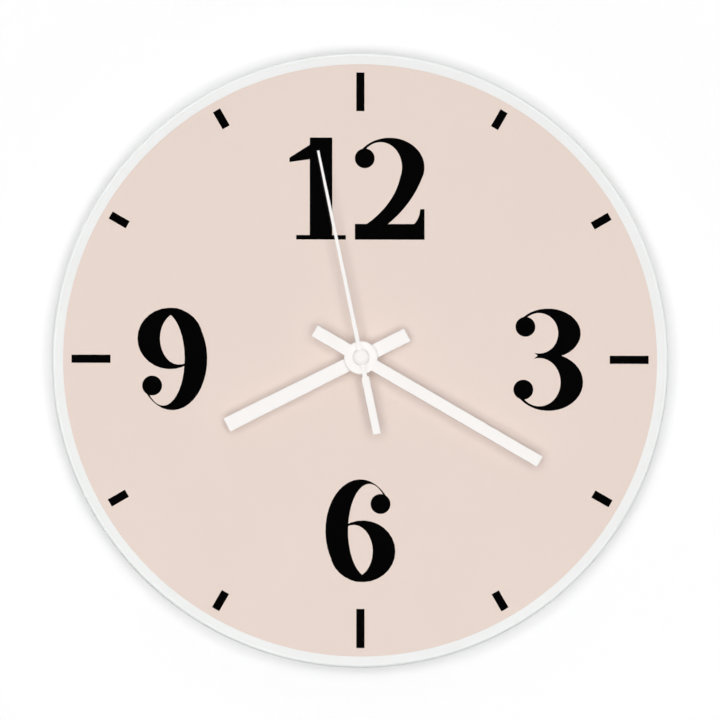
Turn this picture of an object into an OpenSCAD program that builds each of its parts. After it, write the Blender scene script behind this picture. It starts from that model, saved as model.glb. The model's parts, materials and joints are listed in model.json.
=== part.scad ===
// Round glass wall clock: a glass disc printed on its back, carried by a quartz movement.
// Every piece is drawn on the dial's own axes: x to the right and y up as seen from the front,
// z towards the viewer, with the wall at z = 0 and the hands' axis at x = y = 0.
// hang() turns these axes into the part's frame, where +Z is up and the dial faces -Y.

/* [Glass disc] */
// Diameter of the glass
glass_d = 300; // [250:5:360]
// Thickness of the glass
glass_t = 4; // [3:0.5:6]
// Width of the ground slope along the front edge
front_arris = 1.2; // [0.5:0.1:1.4]
// Width of the ground slope along the back edge
back_arris = 0.6; // [0.3:0.1:1]
// Diameter of the hole drilled for the bushing
glass_hole_d = 9; // [8.4:0.1:10]

/* [Print] */
// Width of the white rim around the printed dial
rim_w = 5.4; // [3:0.1:10]
// Width of bare glass outside the white backing
bare_edge = 0.8; // [0.8:0.1:2]
// Thickness of each layer of ink
ink_t = 0.1; // [0.06:0.02:0.2]
// Distance from the dial's edge to the hour marks
mark_inset = 4.1; // [2:0.1:8]
// Width of an hour mark
mark_w = 4; // [2:0.1:6]
// Length of the marks at 12, 3, 6 and 9
long_mark_l = 19; // [12:0.5:24]
// Length of the other eight marks
short_mark_l = 9.6; // [5:0.1:12]

/* [Numerals] */
// Height of the numerals
numeral_h = 50; // [40:1:54]
// Width of the round numerals
numeral_w = 34; // [30:1:38]
// Width of a thick stroke
thick_w = 11; // [8:0.5:12]
// Width of a hairline
thin_w = 2.2; // [1.6:0.1:3]
// Distance from the hour marks to the numerals
numeral_inset = 13; // [8:1:18]

/* [Hands] */
// Diameter of the round hub of the hour and minute hands
hub_d = 16; // [12:0.1:20]
// Thickness of the hands' sheet
hand_t = 0.5; // [0.3:0.05:0.8]
// Length of the hour hand from the axis to its tip
hour_hand_l = 72.7; // [50:0.1:85]
// Length of the hour hand's tail
hour_tail_l = 25.2; // [15:0.1:32]
// Width of the hour hand beside its hub
hour_hub_w = 6.5; // [4:0.1:8]
// Width of the hour hand at its tip
hour_tip_w = 7.1; // [4:0.1:9]
// Width of the hour hand's tail
hour_tail_w = 6.8; // [4:0.1:9]
// Length of the minute hand from the axis to its tip
minute_hand_l = 100.3; // [80:0.1:115]
// Length of the minute hand's tail
minute_tail_l = 26; // [15:0.1:32]
// Width of the minute hand
minute_hand_w = 5.6; // [3:0.1:8]
// Width of the minute hand's tail
minute_tail_w = 6; // [3:0.1:8]
// Length of the second hand from the axis to its tip
second_hand_l = 102.9; // [80:0.1:115]
// Length of the second hand's tail
second_tail_l = 38; // [28:0.1:45]
// Width of the needle beside the cap
needle_root_w = 2.1; // [1.2:0.1:2.4]
// Width of the needle at its tip
needle_tip_w = 1.1; // [0.6:0.1:1.2]
// Width of the neck between the cap and the counterweight
neck_w = 2.2; // [1.4:0.1:3]
// Width of the counterweight bar
counter_w = 3.7; // [3:0.1:6]
// Distance from the axis to the counterweight bar
counter_start = 9.6; // [8:0.1:16]
// Length of the slanted shoulder of the counterweight bar
counter_slant = 0.4; // [0.4:0.1:3]
// Diameter of the second hand's cap
cap_d = 7.5; // [5:0.1:10]
// Height of the second hand's cap
cap_h = 1.6; // [1:0.1:2.5]
// Clockwise angle of the hour hand from 12
hour_angle = 243.3; // [0:0.1:360]
// Clockwise angle of the minute hand from 12
minute_angle = 120.2; // [0:0.1:360]
// Clockwise angle of the second hand from 12
second_angle = 348.3; // [0:0.1:360]
// Height of the hand's collar behind its sheet
collar_h = 1.2; // [0.6:0.1:1.5]
// Wall of a hand's collar
collar_wall = 0.6; // [0.4:0.1:1]
// Free height between one hand and the next
hand_step = 0.6; // [0.4:0.1:1.5]

/* [Fixing to the glass] */
// Outer diameter of the threaded bushing
bushing_d = 8; // [7.6:0.1:8.4]
// Pitch of the bushing's thread
thread_pitch = 0.75; // [0.5:0.05:1]
// Depth of the bushing's thread
thread_depth = 0.3; // [0.2:0.05:0.4]
// Diameter of the bushing's flange
flange_d = 12; // [11:0.5:14]
// Diameter of the rubber gasket
gasket_d = 30; // [24:1:40]
// Thickness of the rubber gasket
gasket_t = 1; // [0.8:0.1:2]
// Diameter of the front washer
washer_d = 14; // [13.5:0.1:15]
// Thickness of the front washer
washer_t = 0.6; // [0.4:0.1:1]
// Width of the hexagonal nut across its flats
nut_flats = 10; // [9.6:0.1:12]
// Thickness of the nut
nut_t = 2; // [1.5:0.1:3]
// Height of the bushing above the nut
bushing_proud = 0.6; // [0.3:0.1:2]

/* [Movement case] */
// Width of the case
case_w = 56; // [56:0.5:64]
// Height of the case
case_h = 56; // [51:0.5:64]
// Depth of the case from the wall to its front face
case_depth = 16.5; // [16.5:0.1:20]
// Thickness of the case's walls
case_wall = 1.2; // [1:0.1:1.4]
// Height of the hands' axis above the wall over the battery bay
axis_rise = 10.7; // [10:0.1:12]
// Radius of the case's corners
corner_r = 3; // [1.5:0.5:5]
// Thickness of the back cover
cover_t = 1.2; // [1:0.1:1.6]
// Width of a clip of the back cover
clip_w = 5; // [4:0.5:7]
// Diameter of the hole in the hanging eye
eye_hole_d = 6.4; // [5:0.1:8]
// Width of the band around the eye's hole
eye_band = 2.8; // [2:0.1:4]
// Thickness of the hanging eye
eye_t = 3; // [2.4:0.1:5]
// Width of the eye's tongue in the case's top wall
tongue_w = 8; // [5:0.5:10]
// Thickness of the eye's tongue
tongue_t = 1.6; // [1:0.1:2]

/* [Gear train] */
// Module of the rotor pinion, the fifth wheel, the second pinion and the third wheel
fine_module = 0.25; // [0.24:0.005:0.255]
// Module of the fifth pinion and the second wheel
second_module = 0.28; // [0.275:0.005:0.285]
// Module of the minute arbor's pinion, the motion wheel and the setting stem
motion_module = 0.4; // [0.38:0.005:0.405]
// Thickness of the wheels
wheel_t = 0.8; // [0.6:0.05:0.9]
// Length of the pinions
pinion_l = 1.4; // [1.2:0.05:1.5]
// Thickness of the bridge plate
bridge_t = 1; // [0.8:0.1:1.2]
// Diameter of the hour wheel's tube
hour_tube_d = 5.1; // [4.8:0.1:5.4]
// Diameter of the minute arbor's tube
minute_tube_d = 3.5; // [3.2:0.1:3.6]
// Diameter of the steel arbors
arbor_d = 1; // [0.8:0.05:1.1]
// Diameter of the setting stem
stem_d = 3; // [2.4:0.1:3.4]
// Diameter of the setting knob
knob_d = 10.5; // [9:0.5:11]
// Number of grip ribs around the setting knob
knob_ribs = 24; // [16:1:32]

/* [Motor and circuit] */
// Diameter of the rotor magnet
magnet_d = 5; // [4:0.1:5.2]
// Thickness of the stator and of the coil's core
stator_t = 1.2; // [0.8:0.1:1.3]
// Width of iron beside the rotor
pole_w = 1.8; // [1.2:0.1:2]
// Length of the stator
stator_l = 22; // [20:0.5:23]
// Diameter of the coil's flanges
coil_d = 6; // [5.2:0.1:6]
// Length of the coil between its flanges' outer faces
coil_l = 14; // [10:0.5:15]
// Height of the circuit board
board_h = 5.4; // [4.6:0.1:5.6]
// Thickness of the circuit board
board_t = 1; // [0.6:0.1:1.2]
// Diameter of the quartz crystal's can
crystal_d = 2; // [1.5:0.1:2.4]
// Length of the quartz crystal's can
crystal_l = 6; // [5:0.5:8]
// Diameter of the driver chip's drop of resin
chip_d = 4.6; // [3:0.1:5]
// Thickness of the battery contacts
contact_t = 0.3; // [0.2:0.05:0.4]
// Width of the battery contacts
contact_w = 5; // [4:0.1:6]

/* [Battery] */
// Diameter of the cell
cell_d = 14.5; // [14:0.1:14.6]
// Length of the cell with its button
cell_l = 50.5; // [49:0.1:50.5]
// Diameter of the cell's positive button
button_d = 5.5; // [4.5:0.1:6.5]
// Height of the cell's positive button
button_h = 1.2; // [0.8:0.1:1.6]

/* [Clearances] */
// Radial gap between a turning shaft and its bore
running_gap = 0.05; // [0.03:0.01:0.08]
// Radial gap between two pieces pressed or cemented together
press_gap = 0.02; // [0.01:0.01:0.04]
// Axial gap between turning pieces and their neighbours
end_play = 0.3; // [0.2:0.05:0.35]
// Gap between pieces that are laid into each other
loose_gap = 0.2; // [0.1:0.05:0.3]

/* [Hidden] */
$fn = 96;
// Extra length of a cutting solid past the face that it cuts
cut = 1;
// Depth to which two joined solids run into each other
lap = 0.5;

// Teeth of the train, named by wheel and pinion
rotor_teeth = 10;
fifth_teeth = 50;
fifth_pinion_teeth = 10;
second_teeth = 60;
second_pinion_teeth = 10;
third_teeth = 75;
third_pinion_teeth = 10;
centre_teeth = 80;
cannon_teeth = 12;
motion_teeth = 36;
motion_pinion_teeth = 10;
hour_teeth = 40;
stem_teeth = 12;
// Tooth form: pressure angle, heights in modules and the tooth's share of the pitch
pressure_angle = 25;
tooth_rise = 0.8;
tooth_fall = 1.1;
tooth_share = 0.42;

// Inside of the case
front_in = case_depth - case_wall;
inner_w = case_w - 2 * case_wall;
bay_h = cell_d + 2 * loose_gap;
train_floor = -axis_rise;
bay_top = train_floor - case_wall;
bay_floor = bay_top - bay_h;
case_low = bay_floor - case_wall;
case_top = case_low + case_h;
train_top = case_top - case_wall;
cell_y = bay_floor + bay_h / 2;
cell_z = front_in - loose_gap - cell_d / 2;
ledge_l = 6;
ledge_w = 1.4;
ledge_h = 3;
ledge_inset = 7;
ledge_x = inner_w / 2 - ledge_inset;
clip_x = 12;
clip_t = 1;
clip_l = 5;
barb = 0.5;
barb_h = 1;
eye_rise = 1;
eye_y = case_top + eye_rise + eye_hole_d / 2;
eye_r = eye_hole_d / 2 + eye_band;
tongue_z = (eye_t - tongue_t) / 2;

// Setting knob in its well
knob_r = knob_d / 2;
knob_sink = 0.3;
knob_t = 2.4;
rib_rise = 0.35;
well_r = knob_r + rib_rise + 2 * loose_gap;
well_wall = 1;
well_floor_z = knob_sink + knob_t + end_play;
well_floor_t = 1;
grip_w = 1.6;
grip_h = 0.8;

// Motor: the coil lies beside the contact strip, and the rotor beside the coil
contact_x = inner_w / 2 - contact_t;
air_gap = 0.4;
rotor_hole_r = magnet_d / 2 + air_gap;
pole_r = rotor_hole_r + pole_w;
coil_r = coil_d / 2;
coil_gap = 0.4;
coil_x = coil_gap + coil_r - contact_x;
rotor_x = coil_x + coil_r + coil_gap + pole_r;

// Places of the axes on the dial's plane
third_dir = 90;
fifth_dir = 160;
motion_dir = 0;
third_reach = centre_distance(second_pinion_teeth, third_teeth, fine_module);
fifth_reach = centre_distance(second_teeth, fifth_pinion_teeth, second_module);
rotor_reach = centre_distance(fifth_teeth, rotor_teeth, fine_module);
motion_reach = centre_distance(cannon_teeth, motion_teeth, motion_module);
stem_reach = centre_distance(motion_teeth, stem_teeth, motion_module);
centre_module = 2 * third_reach / (third_pinion_teeth + centre_teeth);
hour_module = 2 * motion_reach / (motion_pinion_teeth + hour_teeth);
third_at = polar(third_reach, third_dir);
fifth_at = polar(fifth_reach, fifth_dir);
// The rotor meshes with the fifth wheel at the rotor's distance from the coil
rotor_dir = acos((rotor_x - fifth_at[0]) / rotor_reach);
rotor_at = fifth_at + polar(rotor_reach, rotor_dir);
motion_at = polar(motion_reach, motion_dir);
// The stem lies straight outwards, or higher where its well would meet the case's wall
stem_limit = inner_w / 2 - loose_gap - well_wall - well_r;
stem_dir = acos(min(1, (stem_limit - motion_at[0]) / stem_reach));
stem_at = motion_at + polar(stem_reach, stem_dir);

// Turn of each toothed ring at which its teeth stand in the gaps of its mate
fifth_pinion_turn = mate_turn(fifth_dir, 0, second_teeth, fifth_pinion_teeth);
rotor_turn = mate_turn(rotor_dir, 0, fifth_teeth, rotor_teeth);
third_turn = mate_turn(third_dir, 0, second_pinion_teeth, third_teeth);
centre_turn = mate_turn(third_dir + 180, 0, third_pinion_teeth, centre_teeth);
motion_turn = mate_turn(motion_dir, 0, cannon_teeth, motion_teeth);
hour_turn = mate_turn(motion_dir + 180, 0, motion_pinion_teeth, hour_teeth);
stem_turn = mate_turn(stem_dir, motion_turn, motion_teeth, stem_teeth);

// Heights above the wall, from the case's front face forwards
gasket_z = case_depth;
backing_z = gasket_z + gasket_t;
print_z = backing_z + ink_t;
glass_z = print_z + ink_t;
washer_z = glass_z + glass_t;
nut_z = washer_z + washer_t;
bushing_top = nut_z + nut_t + bushing_proud;
hour_hand_z = bushing_top + end_play + collar_h;
hour_tube_top = hour_hand_z + hand_t + hand_step;
minute_hand_z = hour_tube_top + end_play + collar_h;
minute_tube_top = minute_hand_z + hand_t + hand_step;
second_hand_z = minute_tube_top + hand_step;
cap_top = second_hand_z + hand_t + cap_h;
second_arbor_top = cap_top - cap_h / 2;

// Heights above the wall of the train's layers, from the case's front wall backwards
pinion_over = (pinion_l - wheel_t) / 2;
hour_wheel_z = front_in - end_play - wheel_t;
cannon_z = hour_wheel_z - end_play - pinion_l;
motion_wheel_z = cannon_z + pinion_over;
centre_hub_top = cannon_z - end_play / 2;
centre_wheel_z = centre_hub_top - end_play - wheel_t;
centre_hub_z = centre_wheel_z - end_play;
third_pinion_z = centre_wheel_z - pinion_over;
bridge_front = centre_hub_z - end_play;
bridge_z = bridge_front - bridge_t;
stator_z = bridge_z - stator_t;
core_z = stator_z - stator_t;
second_pinion_z = bridge_z - end_play - pinion_l;
third_wheel_z = second_pinion_z + pinion_over;
fifth_pinion_z = second_pinion_z - end_play - pinion_l;
second_wheel_z = fifth_pinion_z + pinion_over;
rotor_pinion_z = fifth_pinion_z - end_play - pinion_l;
fifth_wheel_z = rotor_pinion_z + pinion_over;

// Radii of shafts and bores
hour_tube_r = hour_tube_d / 2;
minute_tube_r = minute_tube_d / 2;
arbor_r = arbor_d / 2;
pivot_hole_r = arbor_r + running_gap;
boss_wall = 1;
boss_r = arbor_r + boss_wall;
stem_r = stem_d / 2;
stem_pivot_r = stem_r / 2;
stud_r = 0.7;
hub_wall = 0.6;
// Depth of a pivot in its boss
pivot_l = 1.2;
// Seat of the centre wheel on the minute arbor, a step smaller than the arbor's tube
clutch_step = 0.35;
clutch_r = minute_tube_r - clutch_step;

// Circuit board and contacts
board_top = train_top - loose_gap;
board_low = board_top - board_h;
board_z = third_wheel_z + wheel_t + end_play;
board_w = inner_w - 2 * contact_t - 4 * loose_gap;
board_post_inset = 6;
board_post_x = board_w / 2 - board_post_inset;
board_mid = (board_top + board_low) / 2;
crystal_x = tip_r(third_teeth, fine_module) + end_play;
chip_x = -crystal_x - chip_d / 2;
chip_h = 1;
contact_z = cell_z - contact_w / 2;
dimple_r = 2;
dimple_h = 0.6;
tab_l = 3;
cell_positive = contact_x - dimple_h - loose_gap;
cell_negative = cell_positive - cell_l;
leaf_half = 4;

// Stator and coil
core_w = 3;
ear_w = 3;
stator_pin_r = 0.6;
stator_pin_y = (stator_l - ear_w) / 2;
stator_gap = 2;
stator_mid = board_low - stator_gap - stator_l / 2;
bobbin_hole_r = sqrt(pow(core_w / 2, 2) + pow(stator_t / 2, 2)) + loose_gap / 2;
bobbin_wall = 0.4;
bobbin_tube_r = bobbin_hole_r + bobbin_wall;
coil_flange = 0.8;
winding_inset = 0.3;
winding_r = coil_r - winding_inset;
rotor_hub_wall = 0.4;
rotor_hub_r = arbor_r + rotor_hub_wall;
magnet_over = 0.6;
magnet_l = stator_t + magnet_over;
magnet_z = bridge_z - end_play - magnet_l;

// Bridge plate under the circuit board, and its posts
bridge_gap = 0.6;
board_gap = 1.2;
post_r = 1.5;
post_margin = 0.4;
post_inset = post_r + post_margin;
stake_r = 0.8;
bridge_left = rotor_at[0] - pole_r;
bridge_low = train_floor + bridge_gap;
bridge_high = board_low - board_gap;
// The lower right post passes the motion wheel's teeth
post_reach = tip_r(motion_teeth, motion_module) + post_r + end_play;
post_drop = bridge_low + post_inset - motion_at[1];
bridge_right = motion_at[0] + sqrt(pow(post_reach, 2) - pow(post_drop, 2)) + post_inset;
posts = [for (x = [bridge_left + post_inset, bridge_right - post_inset],
    y = [bridge_low + post_inset, bridge_high - post_inset]) [x, y]];

// Dial
dial_r = glass_d / 2 - rim_w;
backing_r = glass_d / 2 - bare_edge;
hole_r = glass_hole_d / 2;
mark_outer = dial_r - mark_inset;
numeral_reach = mark_outer - long_mark_l - numeral_inset;
arc_steps = 28;
// Chamfer of the second hand's cap as a share of its height
cap_edge_share = 0.35;

// Proportions of the numerals: widths in thick strokes, heights as shares of the numeral's height
one_foot_share = 2.2;
one_flag_share = 0.9;
ball_share = 0.44;
two_bowl_share = 0.58;
two_base_share = 0.7;
two_tick_share = 0.3;
three_bowl_share = 0.56;
six_bowl_share = 0.6;
// Angles at which a numeral's curved strokes end
ball_end = 160;
waist_end = 105;
neck_end = -24;
six_top = 38;
six_join = 290;
one_w = thick_w * one_foot_share;
ball_r = thick_w * ball_share;
twelve_gap = 2 * thin_w;

function polar(r, a) = [r * cos(a), r * sin(a)];
function centre_distance(a, b, m) = m * (a + b) / 2;
// Turn of a ring of nb teeth that meshes with a ring of na teeth, turned by a, in direction dir
function mate_turn(dir, a, na, nb) = dir + 180 - 360 / nb * ((a - dir) * na / 360 + 0.5);
function tip_r(n, m) = m * (n / 2 + tooth_rise);
function root_r(n, m) = m * (n / 2 - tooth_fall);
function involute(a) = tan(a) * 180 / PI - a;
// Half of a tooth's angle at radius r, from the involute of its base circle
function half_tooth(n, m, r) =
    let (pitch_r = n * m / 2)
    let (base_r = pitch_r * cos(pressure_angle))
    let (slope = acos(min(1, base_r / max(r, base_r))))
    tooth_share * 180 / n + involute(pressure_angle) - involute(slope);
function flank_radii(n, m) =
    let (base_r = n * m / 2 * cos(pressure_angle))
    base_r > root_r(n, m) ? [root_r(n, m), base_r, n * m / 2, tip_r(n, m)]
                          : [root_r(n, m), n * m / 2, tip_r(n, m)];
function reversed(list) = [for (i = [len(list) - 1:-1:0]) list[i]];
function gear_outline(n, m, turn) =
    let (radii = flank_radii(n, m))
    [for (k = [0:n - 1]) let (mid = turn + 360 * k / n)
        each concat([for (r = radii) polar(r, mid - half_tooth(n, m, r))],
            [for (r = reversed(radii)) polar(r, mid + half_tooth(n, m, r))])];
function ellipse_arc(cx, cy, rx, ry, from, to) =
    [for (i = [0:arc_steps]) let (a = from + (to - from) * i / arc_steps)
        [cx + rx * cos(a), cy + ry * sin(a)]];
// Points of a curve that leaves a towards b and ends in c
function bend(a, b, c) =
    [for (i = [0:arc_steps]) let (t = i / arc_steps)
        (1 - t) * (1 - t) * a + 2 * t * (1 - t) * b + t * t * c];
// Inner edge of a stroke along an ellipse that is thick on its right (side 1) or left (side -1)
function inner_arc(cx, cy, rx, ry, side, from, to) =
    ellipse_arc(cx - side * (thick_w - thin_w) / 2, cy, rx - (thick_w + thin_w) / 2, ry - thin_w,
        from, to);
function bowl(cx, cy, rx, ry, side, from, to) =
    concat(ellipse_arc(cx, cy, rx, ry, from, to),
        reversed(inner_arc(cx, cy, rx, ry, side, from, to)));

module hang() {
    rotate([90, 0, 0]) children();
}

module at(place, z) {
    translate([place[0], place[1], z]) children();
}

// Ring of height h between two radii, standing on z = 0
module tube(outer, inner, h) {
    difference() {
        cylinder(r = outer, h = h);
        translate([0, 0, -cut]) cylinder(r = inner, h = h + 2 * cut);
    }
}

module gear(n, m, turn, h) {
    linear_extrude(h) polygon(gear_outline(n, m, turn));
}

// Children joined and bored along z through the heights from low to high
module bored(low, high, bore_r) {
    difference() {
        union() children();
        translate([0, 0, low - cut]) cylinder(r = bore_r, h = high - low + 2 * cut);
    }
}

module rounded_plate(w, h, r) {
    square([w - 2 * r, h], center = true);
    square([w, h - 2 * r], center = true);
    for (x = [-1, 1], y = [-1, 1])
        translate([x * (w / 2 - r), y * (h / 2 - r)]) circle(r);
}

// Dial
module glass_disc() {
    edge = glass_d / 2;
    color("azure", 0.4) hang() translate([0, 0, glass_z]) rotate_extrude()
        polygon([[hole_r, 0], [edge - back_arris, 0], [edge, back_arris],
            [edge, glass_t - front_arris], [edge - front_arris, glass_t], [hole_r, glass_t]]);
}

module hour_mark_plan() {
    for (hour = [0:11]) {
        mark_l = hour % 3 == 0 ? long_mark_l : short_mark_l;
        rotate(30 * hour) translate([-mark_w / 2, mark_outer - mark_l]) square([mark_w, mark_l]);
    }
}

module figure_one() {
    flag_w = thick_w * one_flag_share;
    translate([-thick_w / 2, 0]) square([thick_w, numeral_h]);
    translate([-one_w / 2, 0]) square([one_w, thin_w]);
    polygon([[0, numeral_h], [-thick_w / 2 - flag_w, numeral_h - flag_w],
        [-thick_w / 2 - flag_w, numeral_h - flag_w - thin_w], [0, numeral_h - flag_w]]);
}

module figure_two() {
    rx = numeral_w / 2;
    ry = numeral_h * two_bowl_share / 2;
    cy = numeral_h - ry;
    base_h = thick_w * two_base_share;
    tick_h = numeral_h * two_tick_share;
    ball_y = cy + ry * 0.3;
    outer_end = ellipse_arc(0, cy, rx, ry, 0, neck_end)[arc_steps];
    inner_end = inner_arc(0, cy, rx, ry, 1, 0, neck_end)[arc_steps];
    // Points towards which the two edges of the slanted stroke leave the bowl
    outer_pull = [rx * 0.55, base_h + ry * 0.45];
    inner_pull = [rx * 0.1, base_h + ry * 0.5];
    polygon(bowl(0, cy, rx, ry, 1, neck_end, ball_end));
    translate([-rx + ball_r, ball_y]) circle(ball_r);
    polygon(concat(bend(inner_end, inner_pull, [-rx, base_h / 2]),
        reversed(bend(outer_end, outer_pull, [-rx + thick_w, base_h / 2]))));
    translate([-rx, 0]) square([numeral_w, base_h]);
    polygon(concat([[rx, base_h / 2], [rx, tick_h]],
        bend([rx - thin_w, tick_h], [rx - thin_w, base_h], [rx - thick_w, base_h / 2])));
}

module figure_three() {
    low_h = numeral_h * three_bowl_share;
    high_h = numeral_h - low_h + thin_w;
    rx = numeral_w / 2;
    high_rx = rx - thin_w / 2;
    high_cy = numeral_h - high_h / 2;
    low_ball_y = low_h * 0.37;
    high_ball_y = high_cy + high_h * 0.13;
    polygon(bowl(0, low_h / 2, rx, low_h / 2, 1, -ball_end, waist_end));
    polygon(bowl(0, high_cy, high_rx, high_h / 2, 1, -waist_end, ball_end));
    translate([-rx + ball_r, low_ball_y]) circle(ball_r);
    translate([-high_rx + ball_r, high_ball_y]) circle(ball_r);
}

module figure_six() {
    rx = numeral_w / 2;
    ry = numeral_h / 2;
    bowl_ry = numeral_h * six_bowl_share / 2;
    lean = thin_w / 2;
    ball_x = rx * 0.86 - ball_r;
    ball_y = ry * 1.52;
    polygon(bowl(0, ry, rx, ry, -1, six_top, six_join));
    difference() {
        polygon(ellipse_arc(lean, bowl_ry, rx - lean, bowl_ry, 0, 360 - 360 / arc_steps));
        polygon(inner_arc(lean, bowl_ry, rx - lean, bowl_ry, 1, 0, 360 - 360 / arc_steps));
    }
    translate([ball_x, ball_y]) circle(ball_r);
}

module numeral_plan() {
    side_x = numeral_reach - numeral_w / 2;
    twelve_w = one_w + twelve_gap + numeral_w;
    translate([0, numeral_reach - numeral_h]) {
        translate([-twelve_w / 2 + one_w / 2, 0]) figure_one();
        translate([twelve_w / 2 - numeral_w / 2, 0]) figure_two();
    }
    translate([side_x, -numeral_h / 2]) figure_three();
    translate([0, -numeral_reach]) figure_six();
    translate([-side_x, numeral_h / 2]) rotate(180) figure_six();
}

module dial_print() {
    color("mistyrose") hang() translate([0, 0, print_z]) linear_extrude(ink_t) difference() {
        circle(dial_r);
        circle(hole_r);
        hour_mark_plan();
        numeral_plan();
    }
}

module hour_marks() {
    color("black") hang() translate([0, 0, print_z]) linear_extrude(ink_t) hour_mark_plan();
}

module dial_numerals() {
    color("black") hang() translate([0, 0, print_z]) linear_extrude(ink_t) numeral_plan();
}

// The backing steps forward onto the glass outside the dial's edge
module white_backing() {
    color("white") hang() translate([0, 0, backing_z]) rotate_extrude()
        polygon([[hole_r, 0], [backing_r, 0], [backing_r, 2 * ink_t], [dial_r, 2 * ink_t],
            [dial_r, ink_t], [hole_r, ink_t]]);
}

// Fixing to the glass
module rubber_gasket() {
    color("dimgray") hang() translate([0, 0, gasket_z])
        tube(gasket_d / 2, flange_d / 2 + loose_gap, gasket_t);
}

module threaded_bushing() {
    r = bushing_d / 2;
    bore_r = hour_tube_r + running_gap;
    flange_top = gasket_z + gasket_t - loose_gap;
    turns = floor((bushing_top - washer_z) / thread_pitch);
    thread_z = bushing_top - turns * thread_pitch;
    thread = [for (i = [0:turns - 1])
        each [[r, thread_z + i * thread_pitch],
            [r - thread_depth, thread_z + (i + 0.5) * thread_pitch]]];
    color("goldenrod") hang() rotate_extrude()
        polygon(concat([[bore_r, front_in], [r, front_in], [r, gasket_z], [flange_d / 2, gasket_z],
            [flange_d / 2, flange_top], [r, flange_top]], thread,
            [[r - thread_depth / 2, bushing_top], [bore_r, bushing_top]]));
}

module front_washer() {
    color("goldenrod") hang() translate([0, 0, washer_z])
        tube(washer_d / 2, bushing_d / 2 + loose_gap, washer_t);
}

module hex_nut() {
    color("gold") hang() translate([0, 0, nut_z]) bored(0, nut_t, bushing_d / 2 + running_gap)
        cylinder(d = nut_flats / cos(30), h = nut_t, $fn = 6);
}

// Sheet of a hand with its collar, pointing at 12, around a bore
module hand_body(bore_r, z) {
    translate([0, 0, z]) bored(0, hand_t, bore_r) linear_extrude(hand_t) {
        circle(d = hub_d);
        children();
    }
    translate([0, 0, z - collar_h]) tube(bore_r + collar_wall, bore_r, collar_h);
}

module hour_hand() {
    color("white") hang() rotate(-hour_angle) hand_body(hour_tube_r + press_gap, hour_hand_z)
        polygon([[hour_tip_w / 2, hour_hand_l], [-hour_tip_w / 2, hour_hand_l],
            [-hour_hub_w / 2, 0], [-hour_tail_w / 2, 0], [-hour_tail_w / 2, -hour_tail_l],
            [hour_tail_w / 2, -hour_tail_l], [hour_tail_w / 2, 0], [hour_hub_w / 2, 0]]);
}

module minute_hand() {
    color("white") hang() rotate(-minute_angle) hand_body(minute_tube_r + press_gap, minute_hand_z)
        polygon([[minute_hand_w / 2, minute_hand_l], [-minute_hand_w / 2, minute_hand_l],
            [-minute_hand_w / 2, 0], [-minute_tail_w / 2, 0], [-minute_tail_w / 2, -minute_tail_l],
            [minute_tail_w / 2, -minute_tail_l], [minute_tail_w / 2, 0], [minute_hand_w / 2, 0]]);
}

module second_hand() {
    bar_top = counter_start + counter_slant;
    bore_r = arbor_r + press_gap;
    color("white") hang() rotate(-second_angle) translate([0, 0, second_hand_z])
        bored(0, hand_t, bore_r) linear_extrude(hand_t) {
            circle(d = cap_d - 2 * loose_gap);
            polygon([[needle_tip_w / 2, second_hand_l], [-needle_tip_w / 2, second_hand_l],
                [-needle_root_w / 2, 0], [-neck_w / 2, 0], [-neck_w / 2, -counter_start],
                [-counter_w / 2, -bar_top], [-counter_w / 2, -second_tail_l],
                [counter_w / 2, -second_tail_l], [counter_w / 2, -bar_top],
                [neck_w / 2, -counter_start], [neck_w / 2, 0], [needle_root_w / 2, 0]]);
        }
}

module second_hand_cap() {
    bore_r = arbor_r + press_gap;
    edge = cap_h * cap_edge_share;
    color("white") hang() translate([0, 0, second_hand_z + hand_t]) difference() {
        rotate_extrude() polygon([[0, 0], [cap_d / 2, 0], [cap_d / 2, cap_h - edge],
            [cap_d / 2 - edge, cap_h], [0, cap_h]]);
        translate([0, 0, -cut]) cylinder(r = bore_r, h = cut + cap_h / 2 + press_gap);
    }
}

// Movement case
module movement_case() {
    color("dimgray") hang() {
        difference() {
            translate([0, (case_low + case_top) / 2]) linear_extrude(case_depth)
                rounded_plate(case_w, case_h, corner_r);
            translate([-inner_w / 2, train_floor, -cut])
                cube([inner_w, train_top - train_floor, front_in + cut]);
            translate([-inner_w / 2, bay_floor, -cut]) cube([inner_w, bay_h, front_in + cut]);
            cylinder(r = bushing_d / 2 + press_gap, h = case_depth + cut);
            translate([-tongue_w / 2 - press_gap, train_top - cut, tongue_z - press_gap])
                cube([tongue_w + 2 * press_gap, case_wall + 2 * cut, tongue_t + 2 * press_gap]);
            contact_slots();
            clip_windows();
        }
        for (side = [-1, 1]) {
            at([side * ledge_x - ledge_l / 2, train_top - ledge_w], cover_t)
                cube([ledge_l, ledge_w, ledge_h]);
            at([side * ledge_x - ledge_l / 2, train_floor], cover_t)
                cube([ledge_l, ledge_w, ledge_h]);
            at([side * board_post_x, board_mid], board_z + board_t)
                cylinder(r = post_r, h = front_in - board_z - board_t);
        }
        for (place = posts) at(place, bridge_z + loose_gap) {
            cylinder(r = stake_r, h = front_in - bridge_z - loose_gap);
            translate([0, 0, bridge_t - loose_gap])
                cylinder(r = post_r, h = front_in - bridge_front);
        }
        at(third_at, third_pinion_z + pinion_l + end_play)
            tube(boss_r, pivot_hole_r, front_in - third_pinion_z - pinion_l - end_play);
        at(stem_at, cannon_z + pinion_l + end_play)
            tube(stem_pivot_r + boss_wall, stem_pivot_r + running_gap,
                front_in - cannon_z - pinion_l - end_play);
        at(motion_at, motion_wheel_z) cylinder(r = stud_r, h = front_in - motion_wheel_z);
    }
}

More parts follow.
